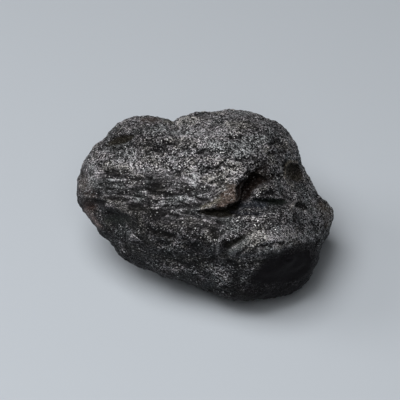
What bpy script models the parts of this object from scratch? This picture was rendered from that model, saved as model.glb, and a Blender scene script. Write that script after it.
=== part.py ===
"""A tektite: one rounded lump of dark natural glass, faintly layered, lying on a small flat spot.

The lump starts as an ellipsoid, seen from the front and from LOOK_UP degrees above the horizon.
It is squeezed until its outline in this view is the stone's own. Broad lobes are raised on it,
flat sides are worn on, and dents, ledges and flutes are sunk into it. Those on the side that faces
the view are placed by their distance right and up from its centre, and those on the far side by
the same distances seen from behind. All lengths are in millimetres until the last step, which
makes metres of them.
"""

import math
from typing import NamedTuple

import bmesh
import bpy
import numpy as np
from mathutils import Vector, noise

MM = 0.001

# Driving dimensions of the ellipsoid
LENGTH = 55.0
DEPTH = 46.0
HEIGHT = 36.0

# The view that the outline and the near side's features are placed in
LOOK_UP = 40.0

# The outline: degrees anticlockwise from the right, and the distance from the centre
OUTLINE = (
    (-3, 27.9),
    (4, 25.3),
    (12, 23.9),
    (20, 23.1),
    (29, 23.6),
    (40, 24.2),
    (50, 23.8),
    (62, 22.7),
    (74, 21.6),
    (85, 20.5),
    (97, 20.2),
    (104, 19.9),
    (111, 19.8),
    (118, 22.4),
    (126, 24.2),
    (134, 25.6),
    (142, 26.2),
    (147, 26.5),
    (153, 27.5),
    (160, 27.9),
    (168, 28.2),
    (177, 27.6),
    (183, 26.6),
    (188, 25.0),
    (192, 23.9),
    (197, 23.3),
    (203, 22.3),
    (213, 21.4),
    (220, 20.3),
    (226, 19.5),
    (240, 18.2),
    (256, 17.5),
    (271, 19.0),
    (280, 20.3),
    (290, 22.3),
    (299, 23.6),
    (308, 25.6),
    (317, 27.3),
    (322, 27.7),
    (330, 27.4),
    (341, 26.9),
    (348, 27.3),
)

# Equal angles that the form's own outline is measured at
OUTLINE_STEPS = 120

# The share of the way to the outline from which a point is squeezed in full
FULL_SQUEEZE_AT = 0.9

# How far a skin turned away from a view, and one turned to it, belongs to that view's side
TURNED_AWAY = -0.15
TURNED_TO = 0.2

# The grid: cells along each edge of the starting cube, and how far they crowd to the near side
CELLS = 64
CROWDING = 0.25

# The finished skin's triangles, kept where the form bends most
TRIANGLES = 9600

# How much of the lowest millimetres the resting spot cuts off
FLAT_SPOT = 1.3

GLASS_COLOUR = (0.035, 0.034, 0.037, 1.0)
GLASS_ROUGHNESS = 0.45


class Relief(NamedTuple):
    """A rounded lobe or dent: its place in the view, half sizes, tilt in degrees and height."""

    right: float
    up: float
    half_long: float
    half_wide: float
    tilt: float
    height: float


class Facet(NamedTuple):
    """A worn flat side: the direction it faces in the view, its distance and its edge's rounding."""

    right: float
    up: float
    near: float
    distance: float
    rounding: float


class Ledge(NamedTuple):
    """A step whose brink overhangs: points (right, up, drop, run-out below) along the brink."""

    brink: tuple
    overhang: float
    undercut: float


NEAR_LOBES = {
    "upper right dome": Relief(8.5, 12.0, 12.0, 8.0, 0, 1.6),
    "upper left lobe": Relief(-15.0, 14.5, 8.0, 4.5, 20, 0.9),
    "left shoulder": Relief(-21.0, 6.0, 7.0, 6.0, 0, 0.6),
    "saddle at the right": Relief(20.0, 5.0, 6.0, 3.6, -35, -1.6),
    "lower right lobe": Relief(12.0, -15.5, 13.0, 9.0, 4, 8.0),
    "front belly": Relief(-8.0, -10.0, 13.0, 7.0, -22, 2.6),
}

FAR_LOBES = {
    "broad back dome": Relief(-6.0, -2.0, 15.0, 10.0, 10, 1.4),
    "back scoop": Relief(9.0, 5.0, 6.5, 4.5, 25, -2.0),
    "back ridge": Relief(1.0, 10.0, 11.0, 2.2, -14, 1.0),
    "end lobe": Relief(-19.0, -3.0, 6.0, 7.0, 0, 1.0),
}

# How far round the outline's edge a broad lobe of one side reaches into the other
LOBES_REACH_PAST_EDGE = 0.4

FACETS = {
    "top left": Facet(-0.22, 0.42, 0.88, 17.6, 1.5),
    "dark lower right": Facet(0.45, -0.70, 0.55, 24.6, 1.6),
    "lower front": Facet(-0.05, -0.80, 0.60, 22.4, 2.4),
    "lower left": Facet(-0.38, -0.68, 0.62, 19.6, 3.5),
    "underside": Facet(0.05, -0.77, -0.64, 16.2, 0.8),
    "right end": Facet(0.90, 0.20, 0.38, 23.2, 1.5),
    "back": Facet(0.15, 0.55, -0.82, 18.6, 1.1),
    "back left": Facet(-0.75, -0.10, -0.65, 21.0, 1.5),
}

NEAR_MARKS = {
    "notch between the upper lobes": Relief(-7.0, 18.4, 2.6, 1.6, -80, -0.9),
    "upper left scoop": Relief(-18.0, 13.8, 3.6, 1.5, 24, -1.6),
    "shallow trough beside the scoop": Relief(-11.0, 11.6, 4.0, 1.0, -8, -0.6),
    "bright fold": Relief(-2.2, 5.5, 1.8, 0.8, -55, 0.8),
    "dip right of the fold": Relief(1.5, 6.5, 2.2, 1.2, 20, -0.5),
    "right pit": Relief(19.0, 7.0, 2.0, 1.3, -65, -1.9),
    "rim of the right pit": Relief(17.2, 7.4, 1.9, 0.6, 85, 0.5),
    "tongue": Relief(14.8, 3.0, 5.0, 1.5, -3, 0.7),
    "dimple in the tongue": Relief(14.6, 2.6, 1.8, 0.6, 0, -0.6),
    "notch by the right chip": Relief(21.0, -0.5, 1.7, 1.0, -20, -1.0),
    "slanted groove": Relief(6.6, -7.8, 2.8, 0.9, 38, -1.0),
    "bar under the groove": Relief(8.0, -9.4, 2.8, 0.9, 42, 0.4),
    "ridge left of the groove": Relief(2.9, -9.0, 0.8, 1.6, 5, 0.4),
    "toe": Relief(4.6, -16.8, 3.0, 2.0, -30, 0.9),
    "hollow above the toe": Relief(0.5, -12.5, 6.0, 2.4, -15, -0.7),
    "lower left hollow": Relief(-18.5, -3.8, 4.5, 2.0, -25, -0.8),
    "lower left swelling": Relief(-12.5, -8.5, 4.5, 2.6, -30, 0.7),
    "dent beside the swelling": Relief(-5.5, -12.0, 3.5, 1.8, -20, -0.7),
    "left edge pit": Relief(-24.4, -0.6, 1.7, 1.3, 0, -0.9),
    "rim below the dark facet": Relief(14.0, -17.6, 7.0, 1.2, 7, 0.5),
}

FAR_MARKS = {
    "small back scoop": Relief(-12.0, 9.0, 3.6, 2.6, -30, -1.3),
    "back pit": Relief(15.5, -3.0, 2.4, 1.8, 60, -1.4),
    "low back pit": Relief(-4.0, -8.0, 3.0, 2.2, 10, -1.2),
}

NEAR_LEDGES = {
    "flap over the cave": Ledge(
        brink=(
            (-2.6, -2.3, 0.2, 1.6),
            (1.2, -1.4, 1.0, 1.8),
            (4.0, -1.0, 1.7, 2.0),
            (5.8, 0.1, 2.0, 2.2),
            (7.2, 1.5, 2.8, 3.0),
            (7.1, 3.6, 3.4, 3.8),
            (8.2, 5.3, 3.2, 3.6),
            (10.0, 7.0, 2.2, 2.6),
            (12.6, 7.9, 1.2, 2.0),
            (16.0, 7.6, 0.3, 1.6),
        ),
        overhang=0.5,
        undercut=0.7,
    ),
    "slot under the tongue": Ledge(
        brink=(
            (7.6, 0.2, 0.3, 1.5),
            (10.2, 1.1, 1.4, 2.0),
            (13.2, 0.8, 1.6, 2.2),
            (16.6, 0.9, 1.2, 2.0),
            (19.4, 0.3, 0.3, 1.5),
        ),
        overhang=0.3,
        undercut=0.5,
    ),
}

FAR_LEDGES = {
    "back step": Ledge(
        brink=(
            (-11.0, 1.5, 0.2, 3.0),
            (-5.0, 3.2, 1.3, 4.0),
            (2.0, 2.6, 1.6, 4.5),
            (8.0, 0.2, 0.3, 3.0),
        ),
        overhang=0.0,
        undercut=0.2,
    ),
}

# The grid's points beside a brink are gathered onto it, so that it runs clean
GATHER_WITHIN = 0.55
GATHER_SHARE = 0.9
SPREAD_WITHIN = 1.6
BRINK_GAP = 0.1

# How far past its ends a brink fades out, how far from it the skin leans, and the share of a
# ledge's greatest drop from which its points are gathered in full
BRINK_FADE = 1.2
LEAN_WITHIN = 1.6
GATHER_FROM_DROP = 0.25

# Flutes: the drawn-out layers of the glass. Each is a line (right, up) and its groove's depth.
FLUTES = (
    (((-23.5, 6.6), (-15.0, 6.4), (-6.0, 5.2)), 0.35),
    (((-24.5, 4.6), (-15.0, 4.4), (-7.0, 3.2), (-1.0, 1.2)), 0.45),
    (((-22.0, 2.0), (-12.0, 2.2), (-5.0, 0.8), (1.0, -1.2)), 0.4),
    (((-15.0, -0.2), (-9.0, 0.4), (-3.0, -1.6), (5.0, -3.4)), 0.35),
)
FLUTE_HALF_WIDTH = 0.65
FLUTE_TAPER = 0.15

# The unevenness of the whole skin: wavelength and height of each layer
UNEVENNESS = ((9.0, 0.8), (4.2, 0.5), (2.3, 0.25))


def view_axes():
    """The directions right, up and towards the viewer of the view that places the features."""
    rise = math.radians(LOOK_UP)
    right = np.array((1.0, 0.0, 0.0))
    up = np.array((0.0, math.sin(rise), math.cos(rise)))
    near = np.array((0.0, -math.cos(rise), math.sin(rise)))
    return right, up, near


def smooth_step(low, high, value):
    share = np.clip((value - low) / (high - low), 0.0, 1.0)
    return share * share * (3.0 - 2.0 * share)


def sphere_mesh():
    """A ball made of a cube's even grid, crowded to the side that faces the viewer."""
    form = bmesh.new()
    bmesh.ops.create_cube(form, size=2.0)
    bmesh.ops.subdivide_edges(form, edges=form.edges[:], cuts=CELLS - 1, use_grid_fill=True)
    right, up, near = view_axes()
    for vert in form.verts:
        x, y, z = vert.co
        spread = Vector(
            (
                x * math.sqrt(1 - y * y / 2 - z * z / 2 + y * y * z * z / 3),
                y * math.sqrt(1 - x * x / 2 - z * z / 2 + x * x * z * z / 3),
                z * math.sqrt(1 - x * x / 2 - y * y / 2 + x * x * y * y / 3),
            )
        )
        turned = spread.x * right - spread.y * near + spread.z * up
        vert.co = Vector(turned + CROWDING * near).normalized()
    return form


def outline_radius(angle):
    """The stone's outline: its distance at each angle, in radians, on a smooth closed curve."""
    known = np.radians([point[0] for point in OUTLINE])
    reach = np.array([point[1] for point in OUTLINE])
    known = np.concatenate((known[-2:] - 2 * math.pi, known, known[:3] + 2 * math.pi))
    reach = np.concatenate((reach[-2:], reach, reach[:3]))
    angle = np.where(angle < math.radians(OUTLINE[0][0]), angle + 2 * math.pi, angle)
    slope = np.gradient(reach, known)
    after = np.clip(np.searchsorted(known, angle, side="right"), 1, len(known) - 1)
    before = after - 1
    gap = known[after] - known[before]
    t = (angle - known[before]) / gap
    return (
        (2 * t**3 - 3 * t**2 + 1) * reach[before]
        + (t**3 - 2 * t**2 + t) * gap * slope[before]
        + (3 * t**2 - 2 * t**3) * reach[after]
        + (t**3 - t**2) * gap * slope[after]
    )


def reach_by_angle(across, along_up):
    """How far the form reaches from the centre at each point's angle."""
    full_turn = 2 * math.pi
    angle = np.arctan2(along_up, across)
    step = np.round(angle / full_turn * OUTLINE_STEPS).astype(int) % OUTLINE_STEPS
    reach = np.zeros(OUTLINE_STEPS)
    np.maximum.at(reach, step, np.hypot(across, along_up))
    reach = (np.roll(reach, 1) + 2 * reach + np.roll(reach, -1)) / 4
    step_angle = np.arange(OUTLINE_STEPS) / OUTLINE_STEPS * full_turn
    return np.interp(angle, step_angle, reach, period=full_turn)


def squeeze_to_outline(points, starts_at):
    """Scales the points across the line of sight, so that they get the stone's outline.

    What is nearer the middle than the share starts_at of the way to the outline stays as it is.
    """
    right, up, near = view_axes()
    across, along_up = points @ right, points @ up
    reach = reach_by_angle(across, along_up)
    way_out = np.hypot(across, along_up) / reach
    grow = outline_radius(np.arctan2(along_up, across)) / reach
    grow = 1.0 + (grow - 1.0) * smooth_step(starts_at, FULL_SQUEEZE_AT, way_out)
    return (
        np.outer(across * grow, right)
        + np.outer(along_up * grow, up)
        + np.outer(points @ near, near)
    )


def smooth_line(points, count=60):
    """Points along a smooth curve through the given ones, each coordinate on its own cubic."""
    points = np.array(points, float)
    steps = np.arange(len(points))
    slope = np.gradient(points, axis=0)
    where = np.linspace(0, len(points) - 1, count)
    before = np.minimum(where.astype(int), len(points) - 2)
    t = (where - steps[before])[:, None]
    return (
        (2 * t**3 - 3 * t**2 + 1) * points[before]
        + (t**3 - 2 * t**2 + t) * slope[before]
        + (3 * t**2 - 2 * t**3) * points[before + 1]
        + (t**3 - t**2) * slope[before + 1]
    )


def nearest_on(line, spots):
    """For each spot in the view: its distance to the line, the side it is on, and the point's index."""
    apart = spots[:, None, :] - line[None, :, :2]
    distance = np.hypot(apart[..., 0], apart[..., 1])
    index = distance.argmin(axis=1)
    tangent = np.gradient(line[:, :2], axis=0)[index]
    offset = apart[np.arange(len(spots)), index]
    side = np.sign(tangent[:, 0] * offset[:, 1] - tangent[:, 1] * offset[:, 0])
    return distance[np.arange(len(spots)), index], side, index


def relief_height(spots, relief):
    turn = math.radians(relief.tilt)
    offset = spots - np.array((relief.right, relief.up))
    along = offset[:, 0] * math.cos(turn) + offset[:, 1] * math.sin(turn)
    across = -offset[:, 0] * math.sin(turn) + offset[:, 1] * math.cos(turn)
    out = (along / relief.half_long) ** 2 + (across / relief.half_wide) ** 2
    return relief.height * np.exp(-out)


def gathered(beside):
    """Moves distances from a brink: near ones are drawn close to it, those next to them spread."""
    close = BRINK_GAP + beside * (1 - GATHER_SHARE)
    far_share = (beside - GATHER_WITHIN) / (SPREAD_WITHIN - GATHER_WITHIN)
    kept = BRINK_GAP + GATHER_WITHIN * (1 - GATHER_SHARE)
    spread = kept + far_share * (SPREAD_WITHIN - kept)
    moved = np.where(beside < GATHER_WITHIN, close, spread)
    return np.where(beside < SPREAD_WITHIN, moved, beside)


def ledge_shift(spots, ledge):
    """How far each spot sinks below a ledge, and how far it moves across the view."""
    line = smooth_line(ledge.brink)
    distance, side, index = nearest_on(line, spots)
    tangent = np.gradient(line[:, :2], axis=0)[index]
    tangent = tangent / np.linalg.norm(tangent, axis=1)[:, None]
    above = np.stack((-tangent[:, 1], tangent[:, 0]), axis=1)
    drop, run_out = line[index, 2], line[index, 3]
    past_end = np.zeros(len(spots))
    for end, inner in ((0, 1), (-1, -2)):
        outward = line[end, :2] - line[inner, :2]
        outward = outward / np.linalg.norm(outward)
        past_end = np.maximum(past_end, (spots - line[end, :2]) @ outward)
    fade = np.exp(-((np.maximum(past_end, 0.0) / BRINK_FADE) ** 2))
    is_above = side >= 0
    moved = np.where(is_above, 1.0, -1.0) * gathered(distance)
    sunk = np.where(is_above, 0.0, drop * fade * np.exp(-((distance / run_out) ** 2)))
    strength = fade * drop / max(line[:, 2])
    lean = strength * np.exp(-((distance / LEAN_WITHIN) ** 2))
    moved = moved + lean * np.where(is_above, -ledge.overhang, ledge.undercut)
    share = np.minimum(1.0, strength / GATHER_FROM_DROP)
    across = (moved - np.where(is_above, distance, -distance)) * share
    return sunk, above * across[:, None]


def flute_depth(spots):
    sunk = np.zeros(len(spots))
    for line, depth in FLUTES:
        curve = smooth_line(line)
        distance, _, index = nearest_on(curve, spots)
        along = index / (len(curve) - 1)
        ends = smooth_step(0.0, FLUTE_TAPER, along) * smooth_step(1.0, 1.0 - FLUTE_TAPER, along)
        sunk += depth * ends * np.exp(-((distance / FLUTE_HALF_WIDTH) ** 2))
    return sunk


def spots_and_shares(points, normals, past_edge=0.0):
    """Where each point is seen from the front and from behind, and how far it belongs to each side.

    A larger past_edge takes a side further round the outline's edge.
    """
    right, up, near = view_axes()
    facing = normals @ near
    near_spots = np.stack((points @ right, points @ up), axis=1)
    far_spots = near_spots * np.array((-1.0, 1.0))
    near_share = smooth_step(TURNED_AWAY, TURNED_TO, past_edge + facing)
    far_share = smooth_step(TURNED_AWAY, TURNED_TO, past_edge - facing)
    return (near_spots, near_share, right), (far_spots, far_share, -right)


def heights_on_both_sides(sides, near_reliefs, far_reliefs):
    """The heights that the reliefs give the points, on the near side and on the far side."""
    heights = []
    for reliefs, (spots, share, _) in zip((near_reliefs, far_reliefs), sides):
        heights.append(share * sum(relief_height(spots, relief) for relief in reliefs.values()))
    return heights


def add_lobes(points, normals):
    """Raises the broad lobes towards the viewer, and those behind away from the viewer."""
    near = view_axes()[2]
    sides = spots_and_shares(points, normals, LOBES_REACH_PAST_EDGE)
    near_height, far_height = heights_on_both_sides(sides, NEAR_LOBES, FAR_LOBES)
    return points + np.outer(near_height - far_height, near)


def add_marks(points, normals):
    """Raises the small lobes and sinks the pits along the skin's normals."""
    sides = spots_and_shares(points, normals)
    near_height, far_height = heights_on_both_sides(sides, NEAR_MARKS, FAR_MARKS)
    return points + normals * (near_height + far_height)[:, None]


def cut_facets(points):
    """Wears the flat sides on: what stands beyond a facet's plane is drawn back to it."""
    right, up, near = view_axes()
    for facet in FACETS.values():
        out = facet.right * right + facet.up * up + facet.near * near
        out = out / np.linalg.norm(out)
        beyond = points @ out - facet.distance
        drawn_back = (beyond + np.sqrt(beyond**2 + facet.rounding**2)) / 2
        points = points - np.outer(drawn_back, out)
    return points


def add_ledges_and_flutes(points, normals):
    _, up, _ = view_axes()
    near_side, far_side = spots_and_shares(points, normals)
    out = -near_side[1] * flute_depth(near_side[0])
    shift = np.zeros_like(points)
    for ledges, (spots, share, sideways) in ((NEAR_LEDGES, near_side), (FAR_LEDGES, far_side)):
        for ledge in ledges.values():
            sunk, lean = ledge_shift(spots, ledge)
            out -= share * sunk
            lean = lean * share[:, None]
            shift += np.outer(lean[:, 0], sideways) + np.outer(lean[:, 1], up)
    return points + normals * out[:, None] + shift


def add_unevenness(points, normals):
    lift = np.zeros(len(points))
    for wavelength, height in UNEVENNESS:
        lift += height * np.array([noise.noise(Vector(p / wavelength)) for p in points])
    return points + normals * lift[:, None]


def positions(form):
    return np.array([vert.co[:] for vert in form.verts])


def move_to(form, points):
    for vert, point in zip(form.verts, points):
        vert.co = Vector(point)
    form.normal_update()


def normals_of(form):
    return np.array([vert.normal[:] for vert in form.verts])


def shaped_stone():
    """The stone's skin in millimetres, before it is set down."""
    form = sphere_mesh()
    half_sizes = np.array((LENGTH, DEPTH, HEIGHT)) / 2
    move_to(form, squeeze_to_outline(positions(form) * half_sizes, starts_at=0.25))
    move_to(form, add_lobes(positions(form), normals_of(form)))
    move_to(form, cut_facets(positions(form)))
    move_to(form, add_marks(positions(form), normals_of(form)))
    move_to(form, add_unevenness(positions(form), normals_of(form)))
    move_to(form, squeeze_to_outline(positions(form), starts_at=0.5))
    move_to(form, add_ledges_and_flutes(positions(form), normals_of(form)))
    return form


def thinned(form):
    """The same skin with fewer triangles: large where it is nearly flat, small where it bends."""
    mesh = bpy.data.meshes.new("dense")
    form.to_mesh(mesh)
    dense = bpy.data.objects.new("dense", mesh)
    bpy.context.scene.collection.objects.link(dense)
    thin = dense.modifiers.new("thin", "DECIMATE")
    thin.ratio = TRIANGLES / (2 * len(mesh.polygons))
    view = bpy.context.evaluated_depsgraph_get()
    thin_form = bmesh.new()
    thin_form.from_object(dense, view)
    bpy.data.objects.remove(dense)
    return thin_form


def rest_on_flat_spot(points):
    """Flattens the lowest part into the spot that the stone lies on, and centres it over the origin."""
    points = points - np.array((0.0, 0.0, points[:, 2].min() + FLAT_SPOT))
    points[:, 2] = np.maximum(points[:, 2], 0.0)
    middle = (points.min(axis=0) + points.max(axis=0)) / 2
    return points - np.array((middle[0], middle[1], 0.0))


def glass():
    material = bpy.data.materials.new("tektite_glass")
    material.use_nodes = True
    shader = material.node_tree.nodes["Principled BSDF"]
    shader.inputs["Base Color"].default_value = GLASS_COLOUR
    shader.inputs["Roughness"].default_value = GLASS_ROUGHNESS
    shader.inputs["Metallic"].default_value = 0.0
    return material


def main():
    for old in list(bpy.data.objects):
        bpy.data.objects.remove(old)
    form = thinned(shaped_stone())
    move_to(form, rest_on_flat_spot(positions(form)) * MM)
    bmesh.ops.recalc_face_normals(form, faces=form.faces[:])
    mesh = bpy.data.meshes.new("tektite")
    form.to_mesh(mesh)
    form.free()
    mesh.materials.append(glass())
    mesh.shade_smooth()
    stone = bpy.data.objects.new("tektite", mesh)
    bpy.context.scene.collection.objects.link(stone)


if __name__ == "__main__":
    main()
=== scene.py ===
"""The looks of the tektite: its fine skin, its dark glass, a pale floor and soft studio light.

The stone's skin is made even and fine, and its grain, layer lines, pits and broken faces are
pressed into it. What has a place of its own on the near side is placed by the pixel of the
400 x 400 photograph that shows it. The stone's other lengths are millimetres until they reach
Blender, and those of the floor and the lamps are metres.
"""

import math
from typing import NamedTuple

import bmesh
import bpy
import numpy as np
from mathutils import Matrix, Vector, noise


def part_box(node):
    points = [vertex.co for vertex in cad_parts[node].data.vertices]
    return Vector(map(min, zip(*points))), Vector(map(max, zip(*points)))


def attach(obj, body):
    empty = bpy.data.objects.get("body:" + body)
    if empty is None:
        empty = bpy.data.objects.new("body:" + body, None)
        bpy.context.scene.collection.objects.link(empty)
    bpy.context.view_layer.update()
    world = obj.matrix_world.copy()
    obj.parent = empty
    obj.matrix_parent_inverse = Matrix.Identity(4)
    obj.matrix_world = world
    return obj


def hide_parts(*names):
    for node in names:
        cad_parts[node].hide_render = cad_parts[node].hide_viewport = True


MM = 0.001
NODE = "tektite"

# The view: degrees above the horizon, and the point of the stone that CENTRE_PIXEL shows
LOOK_UP = 40.0
VIEW_CENTRE = (-0.107, 1.45, 15.624)
CENTRE_PIXEL = (205, 204)
PHOTO_PIXELS = 400
# A pixel's size on the stone
PIXEL = 55.0 / 254
LENS = 200.0
SENSOR = 36.0

# The nearest that the camera sees, in metres
NEAREST_SEEN = 0.01

# The fine skin: the distance below which two corners are one, its grid, how strongly and how often it
# is smoothed before the grain goes on, and how far it is drawn in to make room for the grain
SAME_PLACE = 0.001
GRID = 0.312
SMOOTHING = 0.5
SMOOTHINGS = 4
DRAWN_IN = 0.08

# Where the skin changes from far to near: how far it faces the viewer, for what ends at the edge and
# for what reaches round it, and how much nearer it lies than the point that the camera aims at
FACING_VIEWER = (-0.1, 0.2)
TURNED_FROM_VIEWER = (-0.6, -0.2)
BEHIND_AIM = (-10.0, -6.0)

# The band of drawn-out layers: the rows of its two edges at a column, how far they fall per pixel to
# the right, how soft they are, the columns where it starts and ends, and its share before its start
BAND_COLUMN = 100
BAND_TOP = 168
BAND_TOP_FALL = 0.10
BAND_TOP_EDGE = (-6, 3)
BAND_LOW = 202
BAND_LOW_FALL = 0.22
BAND_LOW_EDGE = (10, -4)
BAND_START = (86, 104)
BAND_END = (240, 215)
BAND_LEFT_OF_START = 0.4

# The layers' fall per pixel to the right, the columns and rows between which they turn up towards
# the flap, their rise there, and the height of their waves
FLOW_FALL = 0.11
FLOW_TURNS_ACROSS = (195, 225)
FLOW_TURNS_DOWN = (225, 200)
FLOW_RISE = 0.35
FLOW_WAVES = 0.9

# The share of the thin layer lines outside the band, and the shares of the lumps and the grain that
# are lost inside it, and the share of all relief by chance that is lost where the glass is bare
LINES_OUTSIDE_BAND = 0.25
LUMPS_LOST_IN_BAND = 0.65
GRAIN_LOST_IN_BAND = 0.5
LOST_WHERE_BARE = 0.9

# Heights of the lumps, the grains and the pits, the share of the spacing at which a grain neither
# stands up nor sinks, and the shares between which a pit rises to its edge
BROAD_LUMPS = 0.26
NARROW_LUMPS = 0.22
LARGE_GRAINS = 0.28
SMALL_GRAINS = 0.18
LEVEL_DISTANCE = 0.45
PIT_DEPTH = 0.35
PIT_EDGE = (0.27, 0.1)

# How pale the grain is, partly by chance from patch to patch and partly painted light that makes the upper
# sides paler:
# how much it changes from patch to patch, the slopes between which the painted light grows, its least, and
# its limits once the parts' factors are in it
PATCHINESS = 0.25
PAINTED_LIGHT_SLOPES = (-0.35, 0.70)
LEAST_PALE_AND_LIGHT = 0.10
PALE_AND_LIGHT_LIMITS = (0.02, 2.0)

# Painted shade in the grooves and painted light on the ridges, by height: how strongly the grain and the
# placed marks count as height, the heights of grooves and ridges, the paleness in grooves, and how much more
# the ridges have
GRAIN_IN_RELIEF = 0.3
MARKS_IN_RELIEF = 1.7
GROOVE_TO_RIDGE = (-0.40, 0.26)
GROOVE_PAINTED_SHADE = 0.12
RIDGE_PAINTED_LIGHT = 1.35

# Cells per millimetre in the glass: grains, grains of the layers, small grains and glints
GRAIN_CELLS = 4.1
DASH_CELLS = 4.9
SMALL_CELLS = 6.6
GLINT_CELLS = 5.5
# How the layers' grains and streaks are drawn out along the flow
DASH_STRETCH = (0.5, 1.0, 0.5)
STREAK_STRETCH = (0.15, 1.0, 0.15)
# Contrast and gain of the spotted grain, gain of the layers' even grain, and the ends of both
SPOT_CONTRAST = 2.3
SPOT_GAIN = 1.6
EVEN_GAIN = 0.55
DARKEST = 0.006
PALEST = 0.75
# Slow changes of tint from place to place, and the tones of the glinting flakes, whose pale colour is partly
# a painted glint
CLOUD_TONES = ((0.38, (0.93, 0.96, 0.98)), (0.50, (1.0, 0.95, 1.0)), (0.62, (1.0, 0.96, 0.92)))
FLAKE_TONES_AND_PAINTED_GLINT = ((0.0, (0.25, 0.25, 0.26)), (1.0, (1.0, 1.0, 1.0)))
WHITE = (1.0, 1.0, 1.0, 1.0)
# How grainy the colour of a stain and of a painted shade is
STAIN_AND_SHADE_MOTTLE = 0.7
STAIN_AND_SHADE_GAIN = 4.0
# The share of grains that are flakes, how much smaller it is in the layers, and how metallic they are
FLAKE_SHARE = 0.07
FEWER_IN_LAYERS = 0.045
FLAKE_METAL = 0.5
# Greys that stand for the roughness of grains, flakes and bare glass
GRAIN_ROUGHNESS = (0.55, 0.55, 0.55, 1.0)
FLAKE_ROUGHNESS = (0.25, 0.25, 0.25, 1.0)
BARE_ROUGHNESS = (0.6, 0.6, 0.6, 1.0)
SPECULAR = 0.07
BUMP_DEPTH = 0.25
BUMP_STRENGTH = 0.6

# The Mix node's sockets for colours
MIX_SHARE = 0
MIX_FIRST = 6
MIX_SECOND = 7
MIX_RESULT = 2

# The floor, in metres, and the little light that comes from all sides
FLOOR_SIZE = 3.0
FLOOR_COLOUR = (0.56, 0.60, 0.645, 1.0)
FLOOR_ROUGHNESS = 0.8
ROOM_LIGHT_COLOUR = (0.9, 0.95, 1.0, 1.0)
ROOM_LIGHT_STRENGTH = 0.01


class Softbox(NamedTuple):
    """A lamp: degrees turned from the viewer's side and up, its size in metres, and watts."""

    turn: float
    rise: float
    size: float
    power: float


SOFTBOX_DISTANCE = 0.7
SOFTBOXES = {
    "high softbox": Softbox(312, 70, 0.48, 3.6),
    "front softbox": Softbox(0, 48, 0.35, 0.95),
    "left softbox": Softbox(268, 40, 0.35, 0.95),
}


class Mark(NamedTuple):
    """A soft raised line, or a sunk one: its path and half width in pixels, and its height."""

    path: tuple
    half_width: float
    height: float


class Area(NamedTuple):
    """A soft-edged area in pixels: its corners, its edge's width, and how far it is pushed back."""

    corners: tuple
    edge: float
    depth: float


class Tone(NamedTuple):
    """A soft-edged area in pixels whose grain is so many times as pale as elsewhere."""

    corners: tuple
    edge: float
    times: float


class StainAndPaintedShade(NamedTuple):
    """A place in a colour of its own, a real stain in some places and painted shade of a hollow in others:
    how strong, and how bare and smooth its glass is there.
    """

    colour: tuple
    strength: float
    smooth: float


# Sunk lines between the drawn-out layers at the left and in the middle
LAYER_GROOVES = (
    Mark(((106, 171.5), (126, 171)), 1.5, -0.42),
    Mark(((107, 176.5), (120, 176)), 1.5, -0.33),
    Mark(((120, 174.8), (134, 176.5)), 1.5, -0.28),
    Mark(((128, 178), (151, 177.5)), 1.5, -0.39),
    Mark(((104, 181.5), (131, 181.8)), 1.5, -0.33),
    Mark(((136, 183.5), (160, 184.5)), 1.5, -0.30),
    Mark(((104, 188), (122, 189.5)), 1.6, -0.37),
    Mark(((127, 189), (153, 188)), 1.6, -0.47),
    Mark(((152, 213), (160, 211)), 2.4, -0.35),
    Mark(((151, 191.5), (172, 193)), 1.8, -0.56),
    Mark(((166, 195), (184, 193)), 1.5, -0.37),
    Mark(((120, 192), (146, 195.5)), 1.5, -0.27),
    Mark(((98, 183.5), (112, 184.5)), 1.5, -0.27),
    Mark(((141, 201), (157, 201.8)), 1.5, -0.39),
    Mark(((130, 205), (141, 204.5)), 2.2, -0.47),
    Mark(((176, 206.5), (190, 206), (204, 204)), 1.7, -0.47),
    Mark(((160, 207.5), (172, 206)), 1.5, -0.30),
    Mark(((170, 213.5), (184, 213.8), (200, 216.5)), 1.5, -0.33),
    Mark(((153, 214.8), (163, 213.5)), 1.6, -0.37),
    Mark(((186, 211), (201, 213)), 1.5, -0.33),
    Mark(((186, 188), (208, 190)), 1.9, -0.36),
    Mark(((189, 195.5), (208, 199.5)), 1.5, -0.30),
    Mark(((95, 201), (106, 203)), 1.5, -0.34),
    Mark(((84, 193), (100, 195)), 1.5, -0.28),
    Mark(((110, 197), (128, 199)), 1.5, -0.28),
)
# Sunk waves and small pits on the two upper lobes
UPPER_GROOVES = (
    Mark(((141, 144), (150, 145), (165, 148.5)), 1.5, -0.58),
    Mark(((146, 151), (166, 150.5)), 1.5, -0.50),
    Mark(((165, 144), (175, 143.5)), 1.5, -0.38),
    Mark(((163, 141.5), (168, 142)), 1.5, -0.50),
    Mark(((181, 147), (196, 146.5)), 1.5, -0.41),
    Mark(((114, 148.5), (124, 147), (131, 144)), 1.5, -0.46),
    Mark(((136, 129), (144, 137)), 1.5, -0.38),
    Mark(((199, 152), (206, 148.5), (213, 151), (222, 151.5), (230, 155)), 1.5, -0.62),
    Mark(((204, 167), (214, 169), (222, 163.5), (233, 167)), 1.5, -0.60),
    Mark(((237, 158.5), (259, 156.5)), 1.5, -0.46),
    Mark(((183, 170), (195, 171)), 1.5, -0.50),
    Mark(((211, 181), (224, 180)), 1.5, -0.43),
    Mark(((232, 136), (242, 137)), 1.7, -0.46),
    Mark(((251, 165), (262, 160)), 1.5, -0.46),
    Mark(((253, 126), (258, 129)), 1.6, -0.46),
    Mark(((213, 122), (221, 121)), 1.7, -0.41),
    Mark(((172, 125), (177, 129)), 2.0, -0.35),
    Mark(((183, 121), (187, 127)), 1.5, -0.38),
    Mark(((270, 143), (278, 141)), 1.6, -0.41),
    Mark(((281, 139), (285, 147)), 1.6, -0.46),
    Mark(((270, 153), (284, 151)), 1.5, -0.41),
)
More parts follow.
